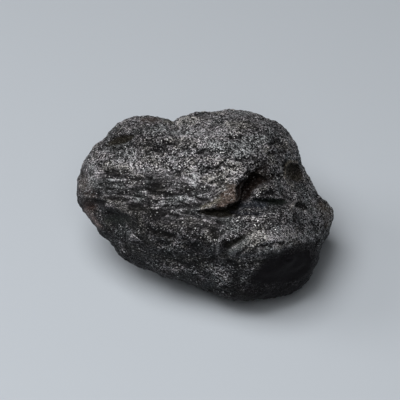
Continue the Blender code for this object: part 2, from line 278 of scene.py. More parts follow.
# Pits, notches and sunk lines of the middle, the right end and the lower side
LOWER_GROOVES = (
    Mark(((273, 174.5), (282, 174.5)), 2.0, -0.60),
    Mark(((263, 193), (274, 192.5)), 1.8, -0.42),
    Mark(((297, 204), (305, 206)), 2.2, -0.85),
    Mark(((295, 214), (295, 219)), 1.7, -0.40),
    Mark(((231, 211.5), (243, 213), (259, 214.5)), 1.5, -0.50),
    Mark(((227, 246), (234, 243), (243, 237.5)), 2.3, -0.80),
    Mark(((213, 231), (216, 240)), 2.0, -0.38),
    Mark(((221, 243), (228, 241.5)), 1.7, -0.38),
    Mark(((160, 232), (170, 236)), 2.2, -0.38),
    Mark(((148, 227), (156, 233)), 2.0, -0.38),
    Mark(((164, 253), (171, 254)), 3.0, -0.30),
    Mark(((196, 236), (203, 240)), 2.2, -0.38),
    Mark(((186, 247), (194, 244)), 1.6, -0.34),
    Mark(((196, 262), (212, 260)), 2.5, -0.30),
    Mark(((228, 262), (240, 266)), 2.2, -0.36),
    Mark(((262, 246.5), (272, 243.5), (284, 243)), 1.6, -0.36),
    Mark(((288, 260), (291, 260)), 1.3, -0.30),
    Mark(((312, 222), (316, 230)), 1.8, -0.36),
    Mark(((318, 240), (314, 250)), 1.8, -0.36),
    Mark(((85, 207), (92, 207)), 2.6, -0.40),
    Mark(((200, 186), (208, 188)), 2.4, -0.45),
    Mark(((160, 243), (169, 246)), 3.0, -0.30),
    Mark(((238, 254), (246, 249), (253, 242)), 1.5, -0.35),
)
# Folds and lumps that stand up and catch the light
FOLDS = (
    Mark(((107, 179.2), (126, 179.8)), 1.0, 0.22),
    Mark(((126, 199.5), (140, 199)), 1.0, 0.18),
    Mark(((172, 181.5), (183, 181)), 1.1, 0.24),
    Mark(((183, 174), (188, 180), (194, 186)), 1.8, 0.45),
    Mark(((194, 172), (199, 177)), 2.8, 0.35),
    Mark(((231, 131.5), (247, 131)), 1.3, 0.34),
    Mark(((206, 176.5), (212, 176)), 1.5, 0.30),
    Mark(((218, 162), (219, 164)), 1.5, 0.30),
    Mark(((226, 180), (235, 180.5)), 1.1, 0.26),
    Mark(((153, 227), (161, 222), (168, 214)), 1.4, 0.40),
    Mark(((168, 228), (174, 224), (181, 220)), 1.4, 0.36),
    Mark(((176, 212.5), (188, 216), (206, 219.5)), 1.5, 0.36),
    Mark(((190, 224), (201, 222), (214, 224)), 1.6, 0.24),
    Mark(((178, 238), (184, 233)), 1.5, 0.30),
    Mark(((185, 250), (193, 243)), 1.6, 0.28),
    Mark(((196, 255), (206, 250)), 1.6, 0.28),
    Mark(((133, 236), (140, 233)), 1.8, 0.26),
    Mark(((181, 225), (186, 226)), 2.2, 0.30),
    Mark(((218, 252), (219, 241), (227, 233)), 1.6, 0.42),
    Mark(((231, 252), (238, 247.5), (247, 240)), 2.3, 0.50),
    Mark(((215, 275), (222, 278), (228, 284)), 2.0, 0.42),
    Mark(((285.5, 163), (285, 178)), 1.2, 0.36),
    Mark(((272, 178.5), (284, 178)), 1.1, 0.24),
    Mark(((291, 208), (296, 202)), 1.4, 0.62),
    Mark(((264, 240), (272, 243)), 1.5, 0.34),
    Mark(((275, 239), (282, 240)), 1.5, 0.34),
    Mark(((239, 257), (247, 250)), 1.2, 0.28),
    Mark(((220, 266), (228, 265)), 2.0, 0.28),
    Mark(((131, 213), (142, 212)), 2.5, 0.24),
    Mark(((249, 171.5), (260, 172.5), (268, 178)), 1.3, 0.30),
    Mark(((285.5, 165), (290, 162), (297, 163)), 1.5, 0.50),
    Mark(((286, 186), (293, 184)), 1.6, 0.30),
    Mark(((251, 190), (262, 187), (275, 186)), 1.6, 0.16),
    Mark(((248, 216), (261, 218)), 2.2, 0.30),
)
# The flap's broken rim: teeth that stand up, and the gaps between them
FLAP_RIM = (
    Mark(((251, 171), (255, 168)), 1.2, 0.40),
    Mark(((247, 174.5), (250, 171.5)), 1.1, -0.40),
    Mark(((243, 179), (247, 176)), 1.2, 0.45),
    Mark(((239.5, 182), (242, 179)), 1.1, -0.40),
    Mark(((235, 186), (239, 183.5)), 1.2, 0.40),
    Mark(((231, 201), (234, 204)), 1.2, 0.40),
    Mark(((228, 203.5), (229.5, 206)), 1.1, -0.40),
    Mark(((223, 204.5), (226, 207.5)), 1.2, 0.40),
    Mark(((219, 206), (220.5, 208.5)), 1.1, -0.40),
    Mark(((213, 205.5), (216, 208)), 1.2, 0.40),
)
# Where the outline is lower or fuller: the left lobe's top, the notch beside it, and both ends
BENDS = (
    Mark(((144, 112), (164, 113)), 7.0, -0.50),
    Mark(((171, 119), (176, 120)), 4.5, 0.55),
    Mark(((80, 200), (91, 215), (101, 232)), 7.0, 0.50),
    Mark(((323, 197), (331, 208), (330, 222), (325, 240)), 6.0, 0.35),
)
# Round grains: x, y, half width in pixels, height
GRAINS = (
    (277.5, 248.5, 3.3, 0.85), (259.5, 250.5, 2.2, 0.60), (256.5, 253.5, 1.7, 0.45), (266.5, 251, 2.3, 0.55),
    (288.5, 246, 1.7, 0.40), (285, 248.5, 1.9, 0.35), (254.5, 246, 1.5, 0.34), (265, 232, 1.8, 0.34),
    (204, 232, 2.0, 0.40), (192.5, 240, 1.7, 0.36), (174.5, 245.5, 2.0, 0.34), (177.5, 242.5, 1.4, 0.28),
    (181, 235, 1.4, 0.30), (207, 250.5, 2.6, 0.32), (252.5, 271, 2.0, 0.34), (108.5, 204, 3.0, 0.38),
    (145, 204.5, 2.0, 0.34), (165.5, 171.5, 1.6, 0.30), (127.5, 166, 1.7, 0.30), (105.5, 168, 1.8, 0.34),
    (118.5, 163, 2.2, 0.34), (134.5, 150.5, 1.7, 0.28), (182, 136, 2.0, 0.34), (188, 134, 2.2, 0.30),
    (243.5, 119.5, 1.8, 0.30), (223, 134, 1.7, 0.30), (199.5, 138.5, 2.0, 0.30), (257, 155, 1.7, 0.32),
    (287, 144.5, 2.2, 0.34), (295.5, 156.5, 1.6, 0.30), (257.5, 117.5, 1.8, 0.30), (191, 156, 1.6, 0.28),
    (234, 248.5, 3.4, 0.30), (303, 237, 1.7, 0.28), (293.5, 236.5, 1.7, 0.28), (270, 291, 1.6, 0.30),
    (193, 198.5, 1.7, 0.30), (89, 178, 2.0, 0.28), (123.5, 251.5, 3.0, 0.26), (147, 261.5, 2.4, 0.26),
)

# Hollows that are pushed back, and faces that only have a stain
AREAS = {
    "cave": Area(
        ((236, 186), (240, 183), (247, 178.5), (253, 174), (260, 176), (268, 180), (262, 184), (256, 188),
         (252, 194), (250, 198), (244, 202), (238, 200)), 2.2, 2.6
    ),
    "cave's upper wall": Area(
        ((242, 181), (249, 171), (256, 167), (262, 162), (268, 164), (270, 172), (276, 178), (272, 183),
         (262, 183), (254, 185)), 2.8, 1.2
    ),
    "scoop": Area(
        ((106, 146), (109, 141), (116, 137), (126, 134.5), (136, 135), (133, 139), (126, 143),
         (115, 146)), 1.6, 0.9
    ),
    "right pit": Area(
        ((288, 166), (292, 164), (298, 165), (302, 171), (303, 178), (298, 182), (290, 180),
         (287, 173)), 1.6, 1.6
    ),
    "under the flap": Area(
        ((199, 211.5), (208, 209.5), (224, 208.5), (231, 204.5), (238, 201.5), (241, 204), (237, 210),
         (232, 216), (221, 218), (207, 216)), 1.2, 1.7
    ),
    "slot": Area(
        ((250, 198.5), (264, 199), (272, 198.5), (284, 199.5), (290, 203), (283, 205), (272, 205),
         (262, 202.5), (252, 202)), 1.2, 0.8
    ),
    "brown face": Area(
        ((219, 199), (221, 193), (229, 189), (232, 186), (236, 187), (236, 194), (238, 200), (233, 203),
         (229, 204), (226, 207.5), (216, 207.5), (217, 203)), 1.8, 0.2
    ),
    "dark side": Area(
        ((259, 266), (267, 259), (280, 254), (289, 248), (300, 242), (317, 242), (320, 258), (315, 268),
         (308, 280), (302, 291), (280, 297), (262, 298), (245, 292), (240, 284), (252, 273)), 2.0, 0.0
    ),
    "dark mirror": Area(
        ((259, 270), (270, 261), (284, 256), (297, 251), (309, 251), (313, 262), (307, 275), (292, 282),
         (264, 284), (253, 279)), 2.0, 0.0
    ),
}

# What the areas' glass looks like: the cave, its upper wall, the place under the flap and the slot are
# near-black as painted shade of their hollows
AREA_STAINS_AND_SHADE = {
    "cave": StainAndPaintedShade((0.017, 0.011, 0.009), 0.95, 0.35),
    "cave's upper wall": StainAndPaintedShade((0.010, 0.007, 0.006), 0.75, 0.1),
    "scoop": StainAndPaintedShade((0.012, 0.010, 0.006), 0.92, 0.7),
    "right pit": StainAndPaintedShade((0.018, 0.015, 0.010), 0.85, 0.5),
    "under the flap": StainAndPaintedShade((0.008, 0.007, 0.004), 0.95, 0.6),
    "slot": StainAndPaintedShade((0.008, 0.010, 0.009), 0.90, 0.6),
    "brown face": StainAndPaintedShade((0.085, 0.059, 0.047), 0.80, 0.15),
    "dark side": StainAndPaintedShade((0.006, 0.005, 0.006), 0.85, 0.45),
    "dark mirror": StainAndPaintedShade((0.004, 0.003, 0.004), 1.0, 1.0),
}
# Paths and half widths in pixels of smaller stains and painted shades, with what they hold
LINE_STAINS_AND_SHADE = (
    (((143, 119.5), (160, 119.5)), 2.6, StainAndPaintedShade((0.050, 0.032, 0.024), 0.6, 0.0)),
    (((165, 121.5), (172, 122)), 1.8, StainAndPaintedShade((0.120, 0.110, 0.080), 0.6, 0.2)),
    (((86, 206), (93, 207)), 4.0, StainAndPaintedShade((0.050, 0.034, 0.031), 0.8, 0.4)),
    # A pinkish edge, made paler than its own colour as painted light on a face turned down and away from the
    # lamps
    (((86, 211), (92, 217), (99, 226)), 2.8, StainAndPaintedShade((0.180, 0.145, 0.140), 0.6, 0.2)),
    (((84, 180), (91, 198)), 6.0, StainAndPaintedShade((0.090, 0.070, 0.062), 0.3, 0.0)),
    (((107, 220), (125, 219)), 4.5, StainAndPaintedShade((0.016, 0.019, 0.016), 0.7, 0.6)),
    (((241, 206), (252, 204), (264, 206)), 3.6, StainAndPaintedShade((0.028, 0.033, 0.043), 0.65, 0.3)),
    # The next three are painted shade: along a sunk line, in the slot, and in the hollow beside the fold
    (((231, 211.5), (243, 213), (260, 214.5)), 1.9, StainAndPaintedShade((0.011, 0.012, 0.017), 0.85, 0.4)),
    (((270, 201), (283, 201)), 2.4, StainAndPaintedShade((0.012, 0.015, 0.012), 0.8, 0.7)),
    (((228, 246), (234, 243), (243, 237.5)), 2.5, StainAndPaintedShade((0.009, 0.009, 0.007), 0.92, 0.8)),
    (((231, 252), (238, 247.5), (247, 240)), 2.9, StainAndPaintedShade((0.105, 0.111, 0.108), 0.92, 0.95)),
    (((218, 251), (219, 241), (227, 233)), 1.5, StainAndPaintedShade((0.200, 0.200, 0.205), 0.55, 0.1)),
    (((277, 248.5), (278, 248.5)), 3.3, StainAndPaintedShade((0.150, 0.152, 0.150), 0.85, 0.6)),
    (((259, 250.5), (260, 250.5)), 2.0, StainAndPaintedShade((0.300, 0.300, 0.300), 0.7, 0.3)),
    (((266, 251), (267, 251)), 2.0, StainAndPaintedShade((0.250, 0.250, 0.250), 0.7, 0.3)),
    (((289, 245.5), (290, 246)), 1.3, StainAndPaintedShade((0.400, 0.400, 0.400), 0.7, 0.3)),
    (((228, 186), (235, 186)), 2.0, StainAndPaintedShade((0.110, 0.085, 0.068), 0.6, 0.2)),
    (((203, 208), (212, 204), (219, 199)), 2.6, StainAndPaintedShade((0.170, 0.155, 0.120), 0.6, 0.2)),
    (((291, 208), (296, 202)), 1.5, StainAndPaintedShade((0.170, 0.160, 0.150), 0.7, 0.3)),
    (((297, 162), (290, 161.5), (286, 165), (285.5, 178)), 1.5, StainAndPaintedShade((0.150, 0.132, 0.104), 0.7, 0.2)),
    # Painted shade in the notch beside the chip
    (((297, 204), (305, 206)), 2.3, StainAndPaintedShade((0.014, 0.013, 0.012), 0.75, 0.3)),
    (((321, 204), (328, 213), (327, 225)), 3.2, StainAndPaintedShade((0.075, 0.056, 0.042), 0.5, 0.0)),
    # Painted shade in the dimple beside the slot
    (((263, 193), (274, 192.5)), 1.9, StainAndPaintedShade((0.014, 0.013, 0.014), 0.65, 0.2)),
    # The last two are painted shade on the lowest parts, close to where the stone meets the floor
    (((205, 285), (212, 283)), 4.0, StainAndPaintedShade((0.020, 0.022, 0.024), 0.6, 0.7)),
    (((180, 273), (190, 277)), 3.0, StainAndPaintedShade((0.018, 0.018, 0.018), 0.7, 0.8)),
)

# Parts of the stone whose grain is made paler or darker than its slope's painted light gives, partly painted
# light and shade, as on the crest that faces the lamps, in the hollow behind the curled fold and at the
# bottom rim, with rounded factors that were set by comparing each part's mean brightness in the render and
# in the photograph
TONES_AND_PAINTED_LIGHT = {
    "left end": Tone(((78, 176), (88, 156), (104, 152), (102, 180), (84, 190)), 5.0, 1.3),
    "left end's low edge": Tone(((80, 202), (94, 201), (98, 212), (101, 224), (88, 214)), 3.0, 0.6),
    "low left side": Tone(
        ((108, 194), (134, 199), (140, 210), (137, 235), (112, 232), (104, 214)), 4.0, 0.5
    ),
    "around the scoop": Tone(
        ((94, 150), (104, 132), (126, 120), (142, 126), (150, 134), (166, 147), (158, 153), (140, 148),
         (112, 148)), 4.0, 0.6
    ),
    "saddle between the lobes": Tone(
        ((152, 138), (160, 124), (178, 117), (196, 118), (197, 134), (176, 138)), 4.0, 1.8
    ),
    "right lobe's top": Tone(((196, 120), (226, 122), (230, 142), (200, 142)), 6.0, 1.8),
    "ridge above the crevice": Tone(
        ((216, 150), (232, 151), (262, 148), (263, 158), (242, 170), (232, 176), (217, 176)), 4.0, 1.4
    ),
    "right wall": Tone(
        ((252, 160), (286, 160), (290, 180), (304, 181), (300, 198), (262, 197), (256, 184)), 4.0, 0.7
    ),
    "foot of the right pit": Tone(((290, 180), (304, 176), (307, 190), (292, 193)), 3.0, 0.5),
    "pale layers at the left": Tone(((100, 178), (122, 177), (142, 180), (142, 186), (104, 187)), 3.0, 1.6),
    "dark layers in the middle": Tone(
        ((148, 175), (176, 175), (182, 186), (180, 198), (150, 198)), 4.0, 0.5
    ),
    "pale folds in the middle": Tone(
        ((182, 168), (196, 168), (202, 178), (216, 174), (222, 184), (214, 202), (203, 200), (196, 188),
         (184, 180)), 4.0, 2.0
    ),
    "pale layers before the flap": Tone(
        ((178, 194), (192, 194), (208, 198), (204, 204), (184, 202)), 3.0, 1.6
    ),
    "side under the layers": Tone(
        ((128, 205), (150, 207), (180, 216), (206, 221), (206, 227), (190, 240), (158, 236),
         (134, 226)), 4.0, 0.3
    ),
    "slope under the slot": Tone(
        ((236, 205), (250, 199), (285, 201), (292, 208), (283, 214), (255, 213), (238, 215)), 4.0, 0.3
    ),
    "shoulder": Tone(
        ((206, 218), (238, 216), (250, 223), (264, 221), (285, 211), (290, 218), (262, 227), (244, 238),
         (222, 246), (196, 240)), 5.0, 0.6
    ),
    "hollow behind the curled fold": Tone(
        ((205, 230), (216, 226), (227, 229), (224, 238), (208, 240)), 3.0, 0.4
    ),
    "crest": Tone(
        ((228, 254), (246, 238), (262, 230), (288, 228), (300, 234), (286, 246), (266, 253),
         (240, 258)), 4.0, 2.2
    ),
    "slope under the crest": Tone(
        ((236, 258), (262, 253), (266, 257), (256, 270), (248, 274), (238, 268)), 3.0, 3.0
    ),
    "right end's low side": Tone(((302, 226), (330, 222), (322, 250), (312, 262), (300, 244)), 5.0, 0.8),
    "lower side": Tone(
        ((128, 232), (150, 238), (200, 239), (217, 250), (240, 260), (226, 272), (195, 272), (160, 264),
         (138, 252)), 5.0, 1.6
    ),
    "low left rim": Tone(
        ((118, 236), (142, 252), (170, 263), (196, 271), (190, 280), (156, 272), (126, 254)), 4.0, 1.5
    ),
    "toe": Tone(((208, 272), (219, 262), (232, 263), (234, 282), (225, 289), (208, 281)), 3.0, 1.8),
    "bottom rim": Tone(
        ((224, 276), (238, 274), (244, 292), (300, 292), (290, 302), (250, 302), (228, 292)), 4.0, 0.2
    ),
}


def view_axes():
    """The directions right, up and towards the viewer of the camera's view."""
    rise = math.radians(LOOK_UP)
    right = np.array((1.0, 0.0, 0.0))
    up = np.array((0.0, math.sin(rise), math.cos(rise)))
    near = np.array((0.0, -math.cos(rise), math.sin(rise)))
    return right, up, near


def camera_place():
    """The point that the photograph's middle shows, and how far the camera stands from it."""
    right, up, near = view_axes()
    middle = PHOTO_PIXELS / 2
    aim = np.array(VIEW_CENTRE) + right * (middle - CENTRE_PIXEL[0]) * PIXEL
    aim = aim + up * (CENTRE_PIXEL[1] - middle) * PIXEL
    return aim, middle * PIXEL * LENS / (SENSOR / 2)


def smooth_step(low, high, value):
    """0 at low, 1 at high, and a smooth rise between them."""
    share = np.clip((value - low) / (high - low), 0.0, 1.0)
    return share * share * (3.0 - 2.0 * share)


def noise_at(points, wavelengths, start):
    """Smooth noise, mostly between -0.7 and 0.7, with its own wavelength along each axis."""
    scaled = points / np.array(wavelengths) + start
    return np.array([noise.noise(Vector(p)) for p in scaled])


def cell_distance(points, spacing, start):
    """The distance to the nearest of many scattered points, over the spacing between them."""
    scaled = points / spacing + start
    return np.array([noise.voronoi(Vector(p))[0][0] for p in scaled])


def distance_to_path(pixels, path):
    """How far each pixel lies from a line through the path's points."""
    nearest = np.full(len(pixels), np.inf)
    for start, end in zip(path[:-1], path[1:]):
        start = np.array(start, float)
        side = np.array(end, float) - start
        share = np.clip(((pixels - start) @ side) / (side @ side), 0.0, 1.0)
        nearest = np.minimum(nearest, np.linalg.norm(pixels - start - share[:, None] * side, axis=1))
    return nearest


def along_path(pixels, path, half_width):
    """1 on the line through the path's points, and less with the distance from it."""
    return np.exp(-((distance_to_path(pixels, path) / half_width) ** 2))


def in_area(pixels, area):
    """How far each pixel lies inside an area: 1 inside, 0 outside, soft at its edge."""
    corners = area.corners + area.corners[:1]
    distance = distance_to_path(pixels, corners)
    crossings = np.zeros(len(pixels), int)
    for start, end in zip(corners[:-1], corners[1:]):
        spans = (start[1] > pixels[:, 1]) != (end[1] > pixels[:, 1])
        # A level side spans no pixel's row, so any height but 0 does for it
        rise = (end[1] - start[1]) or 1.0
        crossing = start[0] + (pixels[:, 1] - start[1]) / rise * (end[0] - start[0])
        crossings += spans & (pixels[:, 0] < crossing)
    inside = np.where(crossings % 2 == 1, distance, -distance)
    return smooth_step(-area.edge, area.edge, inside)


class Skin:
    """The stone's fine skin: its points and normals, and the photograph's pixel that shows each.

    near_share is 1 where the skin faces the viewer, and near_half is 1 all over the near half.
    """

    def __init__(self, mesh):
        self.mesh = mesh
        self.read()

    def read(self):
        count = len(self.mesh.vertices)
        values = np.empty(count * 3)
        self.mesh.vertices.foreach_get("co", values)
        self.points = values.reshape(-1, 3) / MM
        self.mesh.vertices.foreach_get("normal", values)
        self.normals = values.reshape(-1, 3).copy()
        right, up, near = view_axes()
        aim, distance = camera_place()
        from_aim = self.points - aim
        nearer = distance / (distance - from_aim @ near)
        middle = PHOTO_PIXELS / 2
        across = middle + from_aim @ right * nearer / PIXEL
        down = middle - from_aim @ up * nearer / PIXEL
        self.pixels = np.stack((across, down), axis=1)
        self.depth = from_aim @ near
        facing = self.normals @ near
        self.near_share = smooth_step(*FACING_VIEWER, facing)
        self.near_half = smooth_step(*TURNED_FROM_VIEWER, facing) * smooth_step(*BEHIND_AIM, self.depth)

    def move(self, shifts):
        self.points = self.points + shifts
        self.mesh.vertices.foreach_set("co", (self.points * MM).ravel())
        self.mesh.update()
        self.read()

    def raise_by(self, heights):
        self.move(self.normals * heights[:, None])


def fine_mesh(node):
    """The CAD solid's skin as one even, smooth, fine mesh."""
    form = bmesh.new()
    form.from_mesh(node.data)
    bmesh.ops.remove_doubles(form, verts=form.verts[:], dist=SAME_PLACE * MM)
    mesh = bpy.data.meshes.new("coarse")
    form.to_mesh(mesh)
    form.free()
    coarse = bpy.data.objects.new("coarse", mesh)
    bpy.context.scene.collection.objects.link(coarse)
    remesh = coarse.modifiers.new("even grid", "REMESH")
    remesh.mode = "VOXEL"
    remesh.voxel_size = GRID * MM
    smooth = coarse.modifiers.new("smooth", "SMOOTH")
    smooth.factor = SMOOTHING
    smooth.iterations = SMOOTHINGS
    view = bpy.context.evaluated_depsgraph_get()
    fine = bpy.data.meshes.new_from_object(coarse.evaluated_get(view))
    bpy.data.objects.remove(coarse)
    return fine


def press_areas(skin):
    """Pushes the hollows straight back from the viewer."""
    near = view_axes()[2]
    depths = np.zeros(len(skin.points))
    for area in AREAS.values():
        if area.depth:
            depths += area.depth * in_area(skin.pixels, area)
    skin.move(-near * (depths * skin.near_share)[:, None])


def heights_of(skin, marks):
    """The heights of lines that stand up or are sunk."""
    heights = np.zeros(len(skin.points))
    for mark in marks:
        heights += mark.height * along_path(skin.pixels, mark.path, mark.half_width)
    return heights


def marked_heights(skin):
    """The heights of all the placed grooves, folds and grains."""
    heights = heights_of(skin, LAYER_GROOVES + UPPER_GROOVES + LOWER_GROOVES + FOLDS + FLAP_RIM)
    for across, down, half_width, height in GRAINS:
        reach = np.linalg.norm(skin.pixels - np.array((across, down)), axis=1) / half_width
        heights += height * np.sqrt(np.clip(1.0 - 0.5 * reach ** 2, 0.0, 1.0))
    return heights * skin.near_share


def band_share(skin):
    """How far each point lies in the band of drawn-out layers across the left and the middle."""
    across, down = skin.pixels.T
    top = BAND_TOP + BAND_TOP_FALL * (across - BAND_COLUMN)
    low = BAND_LOW + BAND_LOW_FALL * (across - BAND_COLUMN)
    top_edge = smooth_step(top + BAND_TOP_EDGE[0], top + BAND_TOP_EDGE[1], down)
    low_edge = smooth_step(low + BAND_LOW_EDGE[0], low + BAND_LOW_EDGE[1], down)
    start = BAND_LEFT_OF_START + (1.0 - BAND_LEFT_OF_START) * smooth_step(*BAND_START, across)
    return top_edge * low_edge * smooth_step(*BAND_END, across) * start * skin.near_share


def flow_places(skin):
    """Each point's place along the flow, across the layers and towards the viewer."""
    across, down = skin.pixels.T
    rising = smooth_step(*FLOW_TURNS_ACROSS, across) * smooth_step(*FLOW_TURNS_DOWN, down)
    fall = FLOW_FALL * (across - BAND_COLUMN)
    rise = FLOW_RISE * (across - FLOW_TURNS_ACROSS[0])
    level = PIXEL * (-down + fall - rising * rise)
    level = level + FLOW_WAVES * noise_at(skin.points, (7.0, 7.0, 7.0), start=3.1)
    return np.stack((skin.points[:, 0], level, skin.depth), axis=1)


def sunk_lines(place, wavelengths, start, half_width, depth):
    """Lines where smooth noise passes through zero, each as deep as depth in its middle."""
    from_zero = np.abs(noise_at(place, wavelengths, start))
    return -depth * np.clip(1.0 - from_zero / half_width, 0.0, 1.0)


def layer_lines(place, band):
    """Thin lines between the layers, long across the view and close together up it."""
    coarse = sunk_lines(place, (12.0, 1.5, 9.0), start=11.0, half_width=0.13, depth=0.32)
    fine = sunk_lines(place, (7.0, 0.9, 6.0), start=29.0, half_width=0.18, depth=0.22)
    return (coarse + fine) * (LINES_OUTSIDE_BAND + (1.0 - LINES_OUTSIDE_BAND) * band)


def lumps(skin):
    """Lumps of the skin, some millimetres wide."""
    broad = BROAD_LUMPS * noise_at(skin.points, (4.2, 3.4, 3.4), start=5.0)
    narrow = NARROW_LUMPS * noise_at(skin.points, (2.0, 1.5, 1.5), start=17.0)
    return broad + narrow


def grain(skin):
    """Grains of the skin, from a millimetre down to half a millimetre."""
    large = LARGE_GRAINS * (LEVEL_DISTANCE - cell_distance(skin.points, spacing=1.05, start=2.0))
    small = SMALL_GRAINS * (LEVEL_DISTANCE - cell_distance(skin.points, spacing=0.62, start=9.0))
    return large + small


def pits(skin):
    """Scattered small pits."""
    return -PIT_DEPTH * smooth_step(*PIT_EDGE, cell_distance(skin.points, spacing=3.1, start=7.0))


def stained_and_shaded_places(skin):
    """How far each point belongs to each place with a stain and each place with painted shade, and what the
    place holds.
    """
    places = []
    for name, stain_and_painted_shade in AREA_STAINS_AND_SHADE.items():
        places.append((in_area(skin.pixels, AREAS[name]) * skin.near_half, stain_and_painted_shade))
    for path, half_width, stain_and_painted_shade in LINE_STAINS_AND_SHADE:
        places.append((along_path(skin.pixels, path, half_width) * skin.near_share, stain_and_painted_shade))
    return places


def bareness(skin):
    """How far the skin is bare smooth glass, from 0 where it is grainy to 1."""
    bare = np.zeros(len(skin.points))
    for share, stain_and_painted_shade in stained_and_shaded_places(skin):
        bare = np.maximum(bare, stain_and_painted_shade.smooth * share)
    return bare


def stay_in_box(skin, low, high):
    """Keeps the skin inside the CAD solid's box, and its resting spot flat."""
    inside = np.clip(skin.points, low, high)
    skin.move(inside - skin.points)


def stain_and_shade_colours(skin):
    """The colour and strength of the stains and the painted shade at each point."""
    colour = np.zeros((len(skin.points), 3))
    strength = np.zeros(len(skin.points))
    for share, stain_and_painted_shade in stained_and_shaded_places(skin):
        share = share * stain_and_painted_shade.strength
        total = np.maximum(1e-6, share + strength * (1.0 - share))
        colour += (np.array(stain_and_painted_shade.colour) - colour) * (share / total)[:, None]
        strength = total
    return colour, strength


def pale_grain_and_painted_light(skin, low_normals):
    """How pale the grain is: patchy by chance, and painted light that makes it most on the upper sides,
    little on the lower ones.
    """
    patchy = PATCHINESS * noise_at(skin.points, (9.0, 9.0, 9.0), start=41.0)
    painted_light_from_above = smooth_step(*PAINTED_LIGHT_SLOPES, low_normals[:, 2])
    pale_and_painted_light = np.maximum(LEAST_PALE_AND_LIGHT, painted_light_from_above * (1.0 + patchy))
    for tone in TONES_AND_PAINTED_LIGHT.values():
        pale_and_painted_light *= 1.0 + (tone.times - 1.0) * in_area(skin.pixels, tone) * skin.near_half
    return np.clip(pale_and_painted_light, *PALE_AND_LIGHT_LIMITS)


def painted_relief_light_and_shade(lumpy, grainy, marked):
    """How many times as pale the grain is: painted shade makes it little in the grooves, and painted light
    more on the ridges.
    """
    height = lumpy + GRAIN_IN_RELIEF * grainy + MARKS_IN_RELIEF * marked
    return GROOVE_PAINTED_SHADE + RIDGE_PAINTED_LIGHT * smooth_step(*GROOVE_TO_RIDGE, height)


def store(mesh, name, kind, values):
    """Keeps one value for each point of the mesh, for the material to read."""
    field = {"FLOAT": "value", "FLOAT_COLOR": "color", "FLOAT_VECTOR": "vector"}[kind]
    attribute = mesh.attributes.new(name, kind, "POINT")
    attribute.data.foreach_set(field, np.ascontiguousarray(values, np.float32).ravel())


class Nodes:
    """Short calls that add and join shader nodes."""

    def __init__(self, name):
        self.material = bpy.data.materials.new(name)
        self.material.use_nodes = True
        self.tree = self.material.node_tree
        self.shader = self.tree.nodes["Principled BSDF"]

    def add(self, kind, inputs=(), **settings):
        node = self.tree.nodes.new(kind)
        for name, value in settings.items():
            setattr(node, name, value)
        for key, value in dict(inputs).items():
            self.join(value, node.inputs[key])
        return node

    def join(self, value, socket):
        if isinstance(value, bpy.types.NodeSocket):
            self.tree.links.new(value, socket)
        else:
            socket.default_value = value

    def maths(self, operation, first, second):
        return self.add("ShaderNodeMath", {0: first, 1: second}, operation=operation).outputs[0]

    def times(self, first, second):
        return self.maths("MULTIPLY", first, second)

    def contrast(self, value, gain, power):
        return self.maths("POWER", self.times(value, gain), power)

    def vector(self, operation, inputs):
        return self.add("ShaderNodeVectorMath", inputs, operation=operation).outputs[0]

    def cells(self, place, scale):
        """Cells that each have a chance colour of their own."""
        return self.add("ShaderNodeTexVoronoi", {"Vector": place, "Scale": scale}).outputs["Color"]

    def noise(self, place, scale, detail):
        inputs = {"Vector": place, "Scale": scale, "Detail": detail}
        return self.add("ShaderNodeTexNoise", inputs).outputs["Fac"]

    def channels(self, colour):
        return self.add("ShaderNodeSeparateColor", {0: colour}).outputs

    def ramp(self, value, stops):
        node = self.add("ShaderNodeValToRGB", {"Fac": value})
        while len(node.color_ramp.elements) < len(stops):
            node.color_ramp.elements.new(0.5)
        for element, (place, colour) in zip(node.color_ramp.elements, stops):
            element.position = place
            element.color = (*colour, 1.0)
        return node.outputs["Color"]

    def mix(self, share, first, second, blend="MIX"):
        node = self.add("ShaderNodeMix", data_type="RGBA", blend_type=blend)
        self.join(share, node.inputs[MIX_SHARE])
        self.join(first, node.inputs[MIX_FIRST])
        self.join(second, node.inputs[MIX_SECOND])
        return node.outputs[MIX_RESULT]

    def attribute(self, name, output="Fac"):
        return self.add("ShaderNodeAttribute", attribute_name=name).outputs[output]


def grain_paleness(nodes, both, fleck, layered, pale_and_painted_light):
    """How pale each grain is: a few bright spots, but even and streaky in the layers, times the painted
    light of the slopes and the painted shade of the grooves.
    """
    streaks_place = nodes.vector("MULTIPLY", {0: nodes.attribute("flow", "Vector"), 1: STREAK_STRETCH})
    streak = nodes.noise(streaks_place, scale=2.4, detail=1.5)
    spotted = nodes.times(nodes.maths("POWER", both, SPOT_CONTRAST), SPOT_GAIN)
    even = nodes.times(both, EVEN_GAIN)
    paleness = nodes.mix(layered, spotted, even)
    spread = nodes.contrast(fleck, gain=2.0, power=3.0)
    lines = nodes.contrast(streak, gain=1.92, power=2.9)
    for share in (spread, nodes.mix(layered, WHITE, lines), pale_and_painted_light, nodes.attribute("relief_light_and_shade")):
        paleness = nodes.times(paleness, share)
    return nodes.maths("MINIMUM", nodes.maths("ADD", paleness, DARKEST), PALEST)


def flakes(nodes, chance, layered, pale_and_painted_light, grainy):
    """1 on the few grains that glint: more of them where the grain is pale and where painted light makes it
    paler, few in the layers.
    """
    share = nodes.maths("SUBTRACT", FLAKE_SHARE, nodes.times(layered, FEWER_IN_LAYERS))
    rare = nodes.maths("SUBTRACT", 1.0, nodes.times(pale_and_painted_light, share))
    flake = nodes.maths("GREATER_THAN", chance, rare)
    return nodes.times(flake, nodes.maths("POWER", grainy, 4.0))


